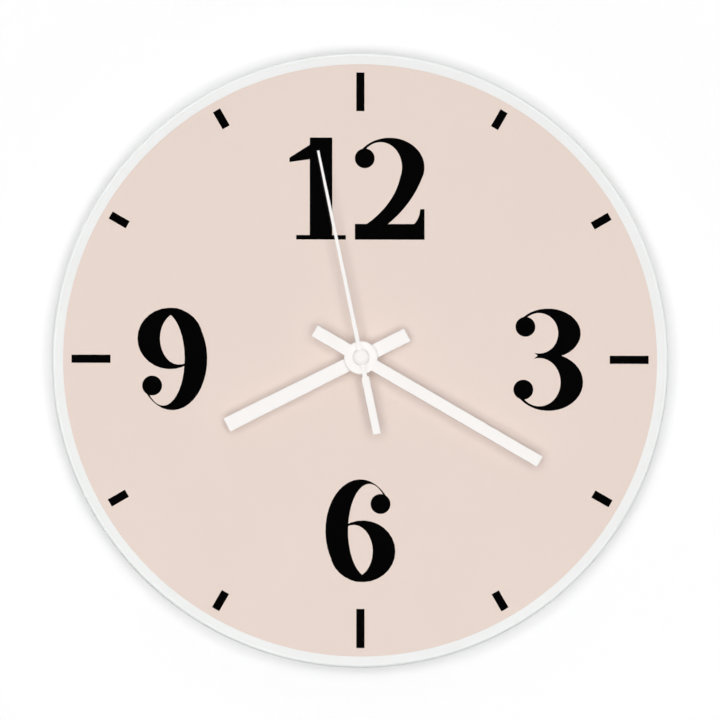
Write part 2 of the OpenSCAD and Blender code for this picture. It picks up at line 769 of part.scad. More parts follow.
// The eye stands on the case's top wall, and its tongue fills a slot there
module hanging_eye() {
    color("dimgray") hang() {
        linear_extrude(eye_t) difference() {
            union() {
                translate([-eye_r, case_top]) square([2 * eye_r, eye_y - case_top]);
                translate([0, eye_y]) circle(eye_r);
            }
            translate([0, eye_y]) circle(d = eye_hole_d);
            translate([-eye_r, case_top - 2 * eye_r]) square(2 * eye_r);
        }
        translate([-tongue_w / 2, train_top, tongue_z]) cube([tongue_w, case_wall + lap, tongue_t]);
    }
}

// Slots at the ends of the bay's upper wall, for the contact strips
module contact_slots() {
    slot_w = contact_t + loose_gap;
    for (x = [-inner_w / 2, inner_w / 2 - slot_w])
        translate([x, bay_top - cut, contact_z - loose_gap])
            cube([slot_w, case_wall + 2 * cut, contact_w + 2 * loose_gap]);
}

// Openings in the top wall and in the wall over the battery bay that catch the cover's clips
module clip_windows() {
    window_z = cover_t + clip_l - barb_h - loose_gap;
    for (side = [-1, 1], low = [bay_top - cut, train_top])
        translate([side * clip_x - clip_w / 2 - loose_gap, low, window_z])
            cube([clip_w + 2 * loose_gap, case_wall + cut, barb_h + 2 * loose_gap]);
}

module cover_clip() {
    translate([-clip_w / 2, -clip_t, 0]) cube([clip_w, clip_t, clip_l]);
    translate([-clip_w / 2, -lap, clip_l - barb_h]) cube([clip_w, barb + lap, barb_h]);
}

module back_cover() {
    low = train_floor + loose_gap;
    high = train_top - loose_gap;
    half = inner_w / 2 - loose_gap;
    well_top = well_floor_z + well_floor_t;
    // Axes that turn in the cover, each with the height of its lowest pinion
    bosses = [[[0, 0], fifth_pinion_z], [third_at, second_pinion_z], [fifth_at, rotor_pinion_z],
        [rotor_at, rotor_pinion_z]];
    color("dimgray") hang() difference() {
        union() {
            translate([-half, low, 0]) cube([2 * half, high - low, cover_t]);
            at(stem_at, 0) cylinder(r = well_r + well_wall, h = well_top);
            for (side = [-1, 1]) {
                translate([side * clip_x, high, cover_t]) cover_clip();
                translate([side * clip_x, low, cover_t]) mirror([0, 1, 0]) cover_clip();
            }
            for (boss = bosses) at(boss[0], 0) cylinder(r = boss_r, h = boss[1] - end_play);
        }
        at(stem_at, -cut) cylinder(r = well_r, h = well_floor_z + cut);
        at(stem_at, 0) cylinder(r = stem_r + running_gap, h = well_top + cut);
        for (boss = bosses) at(boss[0], boss[1] - end_play - pivot_l)
            cylinder(r = pivot_hole_r, h = pivot_l + cut);
    }
}

module bridge_plate() {
    color("whitesmoke") hang() translate([0, 0, bridge_z]) difference() {
        union() {
            translate([bridge_left, bridge_low, 0])
                cube([bridge_right - bridge_left, bridge_high - bridge_low, bridge_t]);
            for (side = [-1, 1]) at([rotor_at[0], stator_mid + side * stator_pin_y], -stator_t)
                cylinder(r = stator_pin_r, h = stator_t + bridge_t / 2);
        }
        for (place = posts) at(place, -cut) cylinder(r = stake_r + press_gap, h = bridge_t + 2 * cut);
        at([0, 0], -cut) cylinder(r = clutch_r + running_gap, h = bridge_t + 2 * cut);
        at(third_at, -cut)
            cylinder(r = tip_r(third_pinion_teeth, centre_module) + end_play, h = bridge_t + 2 * cut);
        for (place = [fifth_at, rotor_at])
            at(place, -cut) cylinder(r = pivot_hole_r, h = bridge_t + 2 * cut);
    }
}

// Motion work, which carries the hands
module hour_wheel() {
    bore_r = minute_tube_r + running_gap;
    color("ivory") hang() bored(hour_wheel_z, hour_tube_top, bore_r) {
        translate([0, 0, hour_wheel_z]) gear(hour_teeth, hour_module, hour_turn, wheel_t);
        translate([0, 0, hour_wheel_z]) cylinder(r = hour_tube_r, h = hour_tube_top - hour_wheel_z);
    }
}

module minute_arbor() {
    tail_z = bridge_z + loose_gap;
    color("ivory") hang() bored(tail_z, minute_tube_top, arbor_r + running_gap) {
        translate([0, 0, tail_z]) cylinder(r = clutch_r, h = cannon_z - tail_z);
        translate([0, 0, cannon_z]) gear(cannon_teeth, motion_module, 0, pinion_l);
        translate([0, 0, cannon_z]) cylinder(r = minute_tube_r, h = minute_tube_top - cannon_z);
    }
}

module centre_wheel() {
    color("ivory") hang() bored(centre_hub_z, centre_hub_top, clutch_r + running_gap) {
        translate([0, 0, centre_wheel_z]) gear(centre_teeth, centre_module, centre_turn, wheel_t);
        translate([0, 0, centre_hub_z])
            cylinder(r = clutch_r + hub_wall, h = centre_hub_top - centre_hub_z);
    }
}

module motion_wheel() {
    top = front_in - end_play;
    color("ivory") hang() at(motion_at, 0) bored(motion_wheel_z, top, stud_r + running_gap) {
        translate([0, 0, motion_wheel_z]) gear(motion_teeth, motion_module, motion_turn, wheel_t);
        translate([0, 0, motion_wheel_z])
            gear(motion_pinion_teeth, hour_module, 0, top - motion_wheel_z);
    }
}

// Wheel of the train with its pinion, bored for the arbor
module train_wheel(teeth, wheel_module, wheel_turn, wheel_z,
        pinion_teeth, pinion_module, pinion_turn, pinion_z) {
    low = min(wheel_z, pinion_z);
    high = max(wheel_z + wheel_t, pinion_z + pinion_l);
    bored(low, high, arbor_r + press_gap) {
        translate([0, 0, wheel_z]) gear(teeth, wheel_module, wheel_turn, wheel_t);
        translate([0, 0, pinion_z]) gear(pinion_teeth, pinion_module, pinion_turn, pinion_l);
        translate([0, 0, low])
            cylinder(r = root_r(pinion_teeth, pinion_module), h = high - low);
    }
}

module second_wheel() {
    color("ivory") hang() train_wheel(second_teeth, second_module, 0, second_wheel_z,
        second_pinion_teeth, fine_module, 0, second_pinion_z);
}

module third_wheel() {
    color("ivory") hang() at(third_at, 0)
        train_wheel(third_teeth, fine_module, third_turn, third_wheel_z,
            third_pinion_teeth, centre_module, 0, third_pinion_z);
}

module fifth_wheel() {
    color("ivory") hang() at(fifth_at, 0)
        train_wheel(fifth_teeth, fine_module, 0, fifth_wheel_z,
            fifth_pinion_teeth, second_module, fifth_pinion_turn, fifth_pinion_z);
}

// Height of an arbor's back end in its boss behind the pinion or wheel at z
function arbor_low(z) = z - end_play - pivot_l + loose_gap;

module arbor(place, low, high) {
    color("silver") hang() at(place, low) cylinder(r = arbor_r, h = high - low);
}

module second_arbor() {
    arbor([0, 0], arbor_low(fifth_pinion_z), second_arbor_top);
}

module third_arbor() {
    arbor(third_at, arbor_low(second_pinion_z), front_in - loose_gap);
}

module fifth_arbor() {
    arbor(fifth_at, arbor_low(rotor_pinion_z), bridge_front - loose_gap);
}

// Stepping motor
module rotor_pinion() {
    low = arbor_low(rotor_pinion_z);
    high = bridge_front - loose_gap;
    color("ivory") hang() at(rotor_at, 0) {
        translate([0, 0, rotor_pinion_z]) gear(rotor_teeth, fine_module, rotor_turn, pinion_l);
        translate([0, 0, low]) cylinder(r = arbor_r, h = high - low);
        translate([0, 0, rotor_pinion_z + pinion_l])
            cylinder(r = rotor_hub_r, h = magnet_z + magnet_l - rotor_pinion_z - pinion_l);
    }
}

module rotor_magnet() {
    color("darkslategray") hang() at(rotor_at, magnet_z)
        tube(magnet_d / 2, rotor_hub_r + press_gap, magnet_l);
}

module stator() {
    ear_x = coil_x - core_w / 2;
    color("lightsteelblue") hang() translate([0, 0, stator_z]) linear_extrude(stator_t) difference() {
        union() {
            translate([rotor_at[0] - pole_r, stator_mid - stator_l / 2]) square([2 * pole_r, stator_l]);
            for (side = [-1, 1]) translate([ear_x, stator_mid + side * stator_pin_y - ear_w / 2])
                square([rotor_at[0] - ear_x, ear_w]);
        }
        translate(rotor_at) circle(rotor_hole_r);
        for (side = [-1, 1]) translate([rotor_at[0], stator_mid + side * stator_pin_y])
            circle(stator_pin_r + press_gap);
    }
}

module coil_core() {
    color("lightsteelblue") hang() at([coil_x - core_w / 2, stator_mid - stator_l / 2], core_z)
        cube([core_w, stator_l, stator_t]);
}

// Turns a solid of revolution so that its axis lies along the coil
module along_coil() {
    at([coil_x, stator_mid - coil_l / 2], core_z + stator_t / 2) rotate([-90, 0, 0]) children();
}

module coil_bobbin() {
    color("ivory") hang() along_coil() {
        tube(bobbin_tube_r, bobbin_hole_r, coil_l);
        for (z = [0, coil_l - coil_flange])
            translate([0, 0, z]) tube(coil_r, bobbin_hole_r, coil_flange);
    }
}

module coil_winding() {
    color("peru") hang() along_coil() translate([0, 0, coil_flange + press_gap])
        tube(winding_r, bobbin_tube_r + press_gap, coil_l - 2 * coil_flange - 2 * press_gap);
}

// Setting work
module setting_stem() {
    low = knob_sink + knob_t;
    color("ivory") hang() at(stem_at, 0) {
        translate([0, 0, low]) cylinder(r = stem_r, h = cannon_z - low);
        translate([0, 0, cannon_z]) gear(stem_teeth, motion_module, stem_turn, pinion_l);
        translate([0, 0, cannon_z])
            cylinder(r = stem_pivot_r, h = front_in - loose_gap - cannon_z);
    }
}

module setting_knob() {
    color("gray") hang() at(stem_at, knob_sink) {
        difference() {
            cylinder(r = knob_r, h = knob_t);
            translate([0, 0, -cut]) cylinder(r = knob_r - grip_w, h = grip_h + cut);
        }
        translate([-knob_r + grip_w / 2, -grip_w / 2, 0])
            cube([2 * knob_r - grip_w, grip_w, grip_h + lap]);
        for (i = [0:knob_ribs - 1])
            rotate(360 * i / knob_ribs) translate([knob_r - rib_rise, -rib_rise, 0])
                cube([2 * rib_rise, 2 * rib_rise, knob_t]);
    }
}

// Circuit
module circuit_board() {
    color("darkgreen") hang() at([-board_w / 2, board_low], board_z) cube([board_w, board_h, board_t]);
}

module quartz_crystal() {
    color("silver") hang() at([crystal_x, board_mid], board_z - crystal_d / 2)
        rotate([0, 90, 0]) cylinder(d = crystal_d, h = crystal_l);
}

module driver_chip() {
    color("black") hang() at([chip_x, board_mid], board_z - chip_h) rotate_extrude()
        polygon([[0, 0], [chip_d / 2 - chip_h / 2, 0], [chip_d / 2, chip_h], [0, chip_h]]);
}

// Contact on the bay's end wall, with a strip up to the circuit board and a tab behind its end
module contact_strip(side) {
    tab_x = side > 0 ? contact_x - tab_l : -contact_x;
    translate([side > 0 ? contact_x : -contact_x - contact_t, bay_floor + loose_gap, contact_z])
        cube([contact_t, board_mid + contact_w / 2 - bay_floor - loose_gap, contact_w]);
    translate([tab_x, board_mid - contact_w / 2, board_z - contact_t]) cube([tab_l, contact_w, contact_t]);
}

module positive_contact() {
    color("silver") hang() {
        contact_strip(1);
        translate([contact_x, cell_y, cell_z]) rotate([0, -90, 0])
            cylinder(r1 = dimple_r, r2 = dimple_r / 2, h = dimple_h);
    }
}

// The negative contact has a leaf folded out towards the cell's flat end
module negative_contact() {
    leaf_x = cell_negative - loose_gap;
    color("silver") hang() {
        contact_strip(-1);
        translate([0, 0, contact_z]) linear_extrude(contact_w)
            polygon([[-contact_x, cell_y - leaf_half], [leaf_x, cell_y], [-contact_x, cell_y + leaf_half],
                [-contact_x, cell_y + leaf_half - 2 * contact_t], [leaf_x - 2 * contact_t, cell_y],
                [-contact_x, cell_y - leaf_half + 2 * contact_t]]);
    }
}

// Battery
module along_cell() {
    translate([cell_negative, cell_y, cell_z]) rotate([0, 90, 0]) children();
}

module battery_cell() {
    color("slategray") hang() along_cell() cylinder(d = cell_d, h = cell_l - button_h);
}

module battery_button() {
    color("silver") hang() along_cell() translate([0, 0, cell_l - button_h])
        cylinder(d = button_d, h = button_h);
}

glass_disc();
dial_print();
hour_marks();
dial_numerals();
white_backing();
rubber_gasket();
threaded_bushing();
front_washer();
hex_nut();
hour_hand();
minute_hand();
second_hand();
second_hand_cap();
movement_case();
hanging_eye();
back_cover();
bridge_plate();
hour_wheel();
minute_arbor();
centre_wheel();
motion_wheel();
second_arbor();
second_wheel();
third_arbor();
third_wheel();
fifth_arbor();
fifth_wheel();
rotor_pinion();
rotor_magnet();
stator();
coil_core();
coil_bobbin();
coil_winding();
setting_stem();
setting_knob();
circuit_board();
quartz_crystal();
driver_chip();
positive_contact();
negative_contact();
battery_cell();
battery_button();
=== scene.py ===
"""Looks of the round glass wall clock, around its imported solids. Lengths are in mm unless noted."""
import json
import math

import bmesh
import bpy
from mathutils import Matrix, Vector

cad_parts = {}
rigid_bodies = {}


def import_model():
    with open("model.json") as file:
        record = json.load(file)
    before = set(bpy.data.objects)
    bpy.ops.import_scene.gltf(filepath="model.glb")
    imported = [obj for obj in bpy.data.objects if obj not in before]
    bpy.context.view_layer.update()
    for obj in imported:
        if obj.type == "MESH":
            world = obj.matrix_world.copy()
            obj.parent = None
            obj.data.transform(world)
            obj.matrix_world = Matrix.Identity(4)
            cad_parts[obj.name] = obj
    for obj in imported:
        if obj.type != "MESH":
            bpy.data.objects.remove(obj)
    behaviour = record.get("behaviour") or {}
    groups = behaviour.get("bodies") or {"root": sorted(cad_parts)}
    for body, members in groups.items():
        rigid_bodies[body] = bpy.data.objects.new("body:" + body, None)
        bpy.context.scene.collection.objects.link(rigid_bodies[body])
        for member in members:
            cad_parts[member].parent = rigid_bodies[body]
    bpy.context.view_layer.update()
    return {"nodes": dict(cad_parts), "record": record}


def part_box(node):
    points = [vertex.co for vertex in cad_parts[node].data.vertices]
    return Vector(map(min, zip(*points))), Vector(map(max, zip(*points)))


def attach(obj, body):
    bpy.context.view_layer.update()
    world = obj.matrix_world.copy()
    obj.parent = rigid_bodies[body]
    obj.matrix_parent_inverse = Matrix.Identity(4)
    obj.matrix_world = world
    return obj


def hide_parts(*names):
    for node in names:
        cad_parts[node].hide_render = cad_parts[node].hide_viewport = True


for left_over in list(bpy.data.objects):
    bpy.data.objects.remove(left_over, do_unlink=True)
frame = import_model()
scene = bpy.context.scene
MM = 0.001

# Boxes, in metres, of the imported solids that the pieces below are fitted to

glass_low, glass_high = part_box("glass_disc")
cap_low, cap_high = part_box("second_hand_cap")
cell_low, cell_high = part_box("battery_cell")
nub_low, nub_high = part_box("battery_button")
knob_low, knob_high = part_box("setting_knob")

# Node tools. A mix node's colour sockets are known by number.

NOISE_ROUGH = 0.55
NOISE_LOW = 0.3
NOISE_HIGH = 0.7
GRAIN_DETAIL = 4.0
MIX_COLOURS = (6, 7)
MIX_RESULT = 2


def new_tree(name):
    mat = bpy.data.materials.new(name)
    mat.use_nodes = True
    mat.node_tree.nodes.clear()
    return mat, mat.node_tree


def add(tree, kind, **values):
    """A new node of a tree, with its inputs set by name."""
    node = tree.nodes.new("ShaderNode" + kind)
    for key, value in values.items():
        node.inputs[key.replace("_", " ")].default_value = value
    return node


def join(tree, source, target):
    tree.links.new(source, target)


def math_node(tree, operation, first, second=None):
    """A Math node; each operand is a number or an output socket."""
    node = tree.nodes.new("ShaderNodeMath")
    node.operation = operation
    for slot, value in enumerate((first, second)):
        if value is None:
            continue
        if isinstance(value, (int, float)):
            node.inputs[slot].default_value = value
        else:
            join(tree, value, node.inputs[slot])
    return node.outputs[0]


def both(tree, first, second):
    return math_node(tree, "MULTIPLY", first, second)


def either(tree, first, second):
    return math_node(tree, "MAXIMUM", first, second)


def near(tree, value, middle, half):
    """One within half of the middle, both in mm, else nought."""
    offset = math_node(tree, "SUBTRACT", value, middle * MM)
    return math_node(tree, "LESS_THAN", math_node(tree, "ABSOLUTE", offset), half * MM)


def ramp(tree, value, start, end, low=0.0, high=1.0):
    """What runs from start to end turned into what runs from low to high, and held beyond."""
    node = add(tree, "MapRange", From_Min=start, From_Max=end, To_Min=low, To_Max=high)
    join(tree, value, node.inputs["Value"])
    return node.outputs["Result"]


def axes_of(tree, vector):
    """The X, Y and Z outputs of a vector socket."""
    split = tree.nodes.new("ShaderNodeSeparateXYZ")
    join(tree, vector, split.inputs["Vector"])
    return split.outputs


def place_of(tree, stretch=(1, 1, 1)):
    """The place on the object in metres, stretched for grain that runs one way."""
    coords = tree.nodes.new("ShaderNodeTexCoord")
    mapping = add(tree, "Mapping", Scale=stretch)
    join(tree, coords.outputs["Object"], mapping.inputs["Vector"])
    return mapping.outputs["Vector"]


def noise(tree, vector, size, detail=3.0):
    """Noise whose features are about size mm across."""
    node = add(tree, "TexNoise", Scale=1.0 / (size * MM), Detail=detail, Roughness=NOISE_ROUGH)
    join(tree, vector, node.inputs["Vector"])
    return node.outputs["Fac"]


def spread(tree, value, low, high):
    """Noise, which keeps mostly to the middle of its range, spread from low to high."""
    return ramp(tree, value, NOISE_LOW, NOISE_HIGH, low, high)


def mixed(tree, factor, first, second):
    """Two colours mixed by a factor socket; each is a colour or a socket."""
    node = tree.nodes.new("ShaderNodeMix")
    node.data_type = "RGBA"
    join(tree, factor, node.inputs["Factor"])
    for slot, colour in zip(MIX_COLOURS, (first, second)):
        if isinstance(colour, tuple):
            node.inputs[slot].default_value = colour + (1.0,)
        else:
            join(tree, colour, node.inputs[slot])
    return node.outputs[MIX_RESULT]


def mixed_shaders(tree, factor, first, second):
    """Two shaders mixed by a factor socket."""
    node = tree.nodes.new("ShaderNodeMixShader")
    join(tree, factor, node.inputs["Fac"])
    join(tree, first, node.inputs[1])
    join(tree, second, node.inputs[2])
    return node.outputs["Shader"]


def tinted(colour, factor):
    return tuple(min(1.0, channel * factor) for channel in colour)


def finish_shader(mat, tree, shader):
    out = tree.nodes.new("ShaderNodeOutputMaterial")
    join(tree, shader, out.inputs["Surface"])
    return mat


# Patterns: the cell's sleeve, painted shade in the grooves between the coil's turns of wire, the board's
# tracks and the backs of hands and print

CELL_MID_Z = (cell_low.z + cell_high.z) / 2 / MM
BAND_X = 19.5
BAND_HALF = 5.2
STRIPE_X = 13.2
STRIPE_HALF = 0.35
BAND_BLUE = (0.055, 0.16, 0.27)
SIGN_HALF = 2.0
SIGN_LINE_HALF = 0.5
SIGN_SIDE_Y = -4.5
PLUS_WHITE = (0.75, 0.76, 0.77)
MINUS_BLACK = (0.03, 0.03, 0.035)
WIRE_PITCH = 0.16
# The colour of the painted shade in the grooves between the coil's turns of wire
GROOVE_PAINTED_SHADE = (0.2, 0.055, 0.02)
UPPER_TRACK_Z = 25.4
LOWER_TRACK_Z = 22.3
TRACK_HALF = 0.3
TRACK_GREEN = (0.06, 0.26, 0.1)
FACING_WALL = 0.7
BARE_GREY = (0.5, 0.5, 0.51)
COAT_DARK = (0.49, 0.5, 0.5)
COAT_PALE = (0.55, 0.555, 0.55)
COAT_STREAK = 14.0
COAT_STRETCH = (1, 1, 0.25)
COAT_DETAIL = 5.0


def sleeve_bands(tree, base):
    """A dark band with a plus sign at one end of the film, and a minus sign at the other."""
    x, y, z = axes_of(tree, place_of(tree))
    band = near(tree, x, BAND_X, BAND_HALF)
    stripe = near(tree, x, STRIPE_X, STRIPE_HALF)
    coloured = mixed(tree, either(tree, band, stripe), base, BAND_BLUE)
    sign_side = math_node(tree, "GREATER_THAN", y, SIGN_SIDE_Y * MM)
    tall = near(tree, z, CELL_MID_Z, SIGN_HALF)
    plus_bar = both(tree, near(tree, x, BAND_X, SIGN_HALF), near(tree, z, CELL_MID_Z, SIGN_LINE_HALF))
    plus_post = both(tree, near(tree, x, BAND_X, SIGN_LINE_HALF), tall)
    minus_bar = both(tree, near(tree, x, -BAND_X, SIGN_LINE_HALF), tall)
    plus = both(tree, either(tree, plus_bar, plus_post), sign_side)
    signed = mixed(tree, plus, coloured, PLUS_WHITE)
    return mixed(tree, both(tree, minus_bar, sign_side), signed, MINUS_BLACK)


# Painted shade: darker stripes at the wire's pitch stand in for the shade in the grooves between the coil's
# turns
def winding_painted_shade(tree, base):
    height = axes_of(tree, place_of(tree))["Z"]
    wave = math_node(tree, "SINE", both(tree, height, 2 * math.pi / (WIRE_PITCH * MM)))
    return mixed(tree, spread(tree, wave, 0.0, 1.0), base, GROOVE_PAINTED_SHADE)


def board_tracks(tree, base):
    height = axes_of(tree, place_of(tree))["Z"]
    upper = near(tree, height, UPPER_TRACK_Z, TRACK_HALF)
    lower = near(tree, height, LOWER_TRACK_Z, TRACK_HALF)
    return mixed(tree, either(tree, upper, lower), base, TRACK_GREEN)


def on_back(tree, base, colour):
    """Another colour where the surface faces the wall."""
    coords = tree.nodes.new("ShaderNodeTexCoord")
    facing = axes_of(tree, coords.outputs["Normal"])["Y"]
    return mixed(tree, math_node(tree, "GREATER_THAN", facing, FACING_WALL), base, colour)


def bare_back(tree, base):
    return on_back(tree, base, BARE_GREY)


def sealed_back(tree, base):
    streaks = noise(tree, place_of(tree, COAT_STRETCH), COAT_STREAK, COAT_DETAIL)
    return on_back(tree, base, mixed(tree, spread(tree, streaks, 0.0, 1.0), COAT_DARK, COAT_PALE))


# Finishes: opaque ones by material slot, and three kinds of glass for the plate


def solid_look(name, colour, rough, blotch, vary, grain, bump, depth=0.02, metal=0.0,
               stretch=(1, 1, 1), shine=0.5, pattern=None):
    """An opaque finish: colour drifts over blotch mm, gloss and relief over grain mm, depth mm high."""
    mat, tree = new_tree(name)
    place = place_of(tree)
    lined = place_of(tree, stretch)
    bsdf = add(tree, "BsdfPrincipled", Metallic=metal, Specular_IOR_Level=shine)
    drift = spread(tree, noise(tree, place, blotch), 0.0, 1.0)
    base = mixed(tree, drift, tinted(colour, 1 - vary), tinted(colour, 1 + vary))
    if pattern:
        base = pattern(tree, base)
    join(tree, base, bsdf.inputs["Base Color"])
    fine = noise(tree, lined, grain, GRAIN_DETAIL)
    join(tree, spread(tree, fine, rough[0], rough[1]), bsdf.inputs["Roughness"])
    relief = add(tree, "Bump", Strength=bump, Distance=depth * MM)
    join(tree, fine, relief.inputs["Height"])
    join(tree, relief.outputs["Normal"], bsdf.inputs["Normal"])
    return finish_shader(mat, tree, bsdf.outputs["BSDF"])


SMEAR_SIZE = 40.0
SMEAR_TINT = 1.01


def clear_glass(name, tint, rough, clear=1.0, shine=0.5, bend=1.5):
    """Clear glass that lets lamps and soft light straight through to what lies behind it."""
    mat, tree = new_tree(name)
    bsdf = add(tree, "BsdfPrincipled", Transmission_Weight=clear, IOR=bend, Specular_IOR_Level=shine)
    smear = noise(tree, place_of(tree), SMEAR_SIZE)
    join(tree, spread(tree, smear, rough[0], rough[1]), bsdf.inputs["Roughness"])
    join(tree, mixed(tree, smear, tint, tinted(tint, SMEAR_TINT)), bsdf.inputs["Base Color"])
    path = tree.nodes.new("ShaderNodeLightPath")
    through = either(tree, path.outputs["Is Shadow Ray"], path.outputs["Is Diffuse Ray"])
    open_side = tree.nodes.new("ShaderNodeBsdfTransparent")
    shader = mixed_shaders(tree, through, bsdf.outputs["BSDF"], open_side.outputs["BSDF"])
    return finish_shader(mat, tree, shader)


FINISHES = {
    "dial_ink": dict(colour=(0.83, 0.694, 0.629), rough=(0.3, 0.45), blotch=60, vary=0.006,
                     grain=0.5, bump=0.02, shine=0.0),
    "black_ink": dict(colour=(0.0012, 0.0012, 0.0012), rough=(0.3, 0.45), blotch=20, vary=0.1,
                      grain=0.5, bump=0.02, shine=0.0),
    "white_ink": dict(colour=(0.888, 0.888, 0.879), rough=(0.38, 0.55), blotch=35, vary=0.012,
                      grain=0.9, bump=0.15, depth=0.015, shine=0.1, pattern=sealed_back),
    "white_lacquer": dict(colour=(0.918, 0.893, 0.874), rough=(0.52, 0.66), blotch=9, vary=0.008,
                          grain=0.7, bump=0.08, depth=0.01, shine=0.2, pattern=bare_back),
    "black_rubber": dict(colour=(0.018, 0.018, 0.019), rough=(0.65, 0.85), blotch=5, vary=0.15,
                         grain=0.35, bump=0.3, depth=0.03),
    "brass": dict(colour=(0.78, 0.57, 0.25), rough=(0.18, 0.34), blotch=4, vary=0.06,
                  grain=0.25, bump=0.15, depth=0.008, metal=1.0, stretch=(1, 14, 1)),
    "case_plastic": dict(colour=(0.021, 0.021, 0.022), rough=(0.5, 0.68), blotch=18, vary=0.12,
                         grain=0.45, bump=0.35, depth=0.03),
    "bridge_plastic": dict(colour=(0.75, 0.75, 0.72), rough=(0.4, 0.55), blotch=8, vary=0.03,
                           grain=0.5, bump=0.1),
    "wheel_plastic": dict(colour=(0.8, 0.78, 0.7), rough=(0.3, 0.45), blotch=5, vary=0.03,
                          grain=0.4, bump=0.08),
    "knob_plastic": dict(colour=(0.05, 0.05, 0.052), rough=(0.42, 0.6), blotch=4, vary=0.1,
                         grain=0.3, bump=0.25),
    "steel": dict(colour=(0.62, 0.615, 0.6), rough=(0.2, 0.36), blotch=6, vary=0.05,
                  grain=0.3, bump=0.12, depth=0.006, metal=1.0, stretch=(1, 1, 10)),
    "motor_iron": dict(colour=(0.45, 0.46, 0.48), rough=(0.35, 0.5), blotch=5, vary=0.08,
                       grain=0.3, bump=0.15, depth=0.008, metal=1.0),
    "magnet": dict(colour=(0.06, 0.06, 0.065), rough=(0.4, 0.6), blotch=3, vary=0.12,
                   grain=0.2, bump=0.25),
    "copper_wire": dict(colour=(0.6, 0.25, 0.1), rough=(0.25, 0.4), blotch=3, vary=0.08,
                        grain=0.2, bump=0.1, metal=0.8, pattern=winding_painted_shade),
    "circuit_laminate": dict(colour=(0.03, 0.16, 0.06), rough=(0.3, 0.45), blotch=4, vary=0.08,
                             grain=0.3, bump=0.08, pattern=board_tracks),
    "black_resin": dict(colour=(0.01, 0.01, 0.01), rough=(0.12, 0.25), blotch=2, vary=0.2,
                        grain=0.6, bump=0.1),
    "cell_sleeve": dict(colour=(0.52, 0.53, 0.55), rough=(0.25, 0.4), blotch=10, vary=0.03,
                        grain=0.8, bump=0.05, pattern=sleeve_bands),
}
LOOKS = {slot: solid_look(slot, **finish) for slot, finish in FINISHES.items()}
GLASS_TINT = (0.985, 0.995, 0.99)
GROUND_TINT = (0.9, 0.92, 0.912)
POLISHED_GLASS = clear_glass("glass", GLASS_TINT, rough=(0.0, 0.012))
GROUND_GLASS = clear_glass("glass_edge", GROUND_TINT, rough=(0.45, 0.6), clear=0.1, shine=0.15)
INKED_GLASS = clear_glass("glass_inked", GLASS_TINT, rough=(0.0, 0.01), shine=0.0, bend=1.0)
SIGN_INK = solid_look("sign_ink", colour=(0.34, 0.34, 0.345), rough=(0.5, 0.65), blotch=2, vary=0.06,
                      grain=0.3, bump=0.1)

# Mesh tools

ARC_STEPS = 6
FLAT_BAND = 0.03
TIP_R = 1e-6
SMOOTH_ANGLE = 35


def rounded(corners, closed=True):
    """Corners (radius, place, fillet), each rounded by its own fillet between two flat bands."""
    points = []
    last = len(corners) - 1
    for i, (radius, place, fillet) in enumerate(corners):
        here = Vector((radius, place))
        if fillet == 0 or (not closed and i in (0, last)):
            points.append(here)
            continue
        back = (Vector(corners[i - 1][:2]) - here).normalized()
        on = (Vector(corners[(i + 1) % (last + 1)][:2]) - here).normalized()
        half = back.angle(on) / 2
        middle = here + (back + on).normalized() * (fillet / math.sin(half))
        start = here + back * (fillet / math.tan(half)) - middle
        end = here + on * (fillet / math.tan(half)) - middle
        points.append(middle + start + back * FLAT_BAND)
        for step in range(ARC_STEPS + 1):
            share = step / ARC_STEPS
            points.append(middle + (start * (1 - share) + end * share).normalized() * fillet)
        points.append(middle + end + on * FLAT_BAND)
    return points


def made(name, bm, look):
    """A piece from a finished bmesh, smooth up to an angle."""
    bmesh.ops.recalc_face_normals(bm, faces=bm.faces)
    mesh = bpy.data.meshes.new(name)
    bm.to_mesh(mesh)
    bm.free()
    mesh.shade_smooth()
    mesh.set_sharp_from_angle(angle=math.radians(SMOOTH_ANGLE))
    mesh.materials.append(look)
    piece = bpy.data.objects.new(name, mesh)
    scene.collection.objects.link(piece)
    return piece


def turned(name, profile, look, axis="Y", centre=(0.0, 0.0), steps=96, closed=True):
    """A solid of revolution about a line along X or Y; profile points are (radius, place)."""
    bm = bmesh.new()
    rings = []
    for radius, place in profile:
        ring = []
        count = steps if radius > TIP_R else 1
        for step in range(count):
            turn = 2 * math.pi * step / steps
            a = centre[0] + radius * math.cos(turn)
            b = centre[1] + radius * math.sin(turn)
            corner = (a, place, b) if axis == "Y" else (place, a, b)
            ring.append(bm.verts.new(Vector(corner) * MM))
        rings.append(ring)
    pairs = list(zip(rings, rings[1:]))
    if closed:
        pairs.append((rings[-1], rings[0]))
    for first, second in pairs:
        for step in range(steps):
            on = (step + 1) % steps
            corners = [first[step % len(first)], first[on % len(first)], second[on % len(second)],
                       second[step % len(second)]]
            face = []
            for corner in corners:
                if corner not in face:
                    face.append(corner)
            if len(face) > 2:
                bm.faces.new(face)
    return made(name, bm, look)


def raised_shape(name, outlines, y_low, y_high, look):
    """Thin flat marks in the X-Z plane: each outline is a list of (x, z)."""
    bm = bmesh.new()
    for outline in outlines:
        low = [bm.verts.new(Vector((x, y_low, z)) * MM) for x, z in outline]
        high = [bm.verts.new(Vector((x, y_high, z)) * MM) for x, z in outline]
        bm.faces.new(low)
        bm.faces.new(list(reversed(high)))
        for i in range(len(outline)):
            on = (i + 1) % len(outline)
            bm.faces.new([low[i], high[i], high[on], low[on]])
    return made(name, bm, look)


def set_on(piece, body, slot, *nodes):
    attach(piece, body)
    if nodes:
        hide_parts(*nodes)


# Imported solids: finish by slot, and the small radii that moulded, stamped and turned edges have

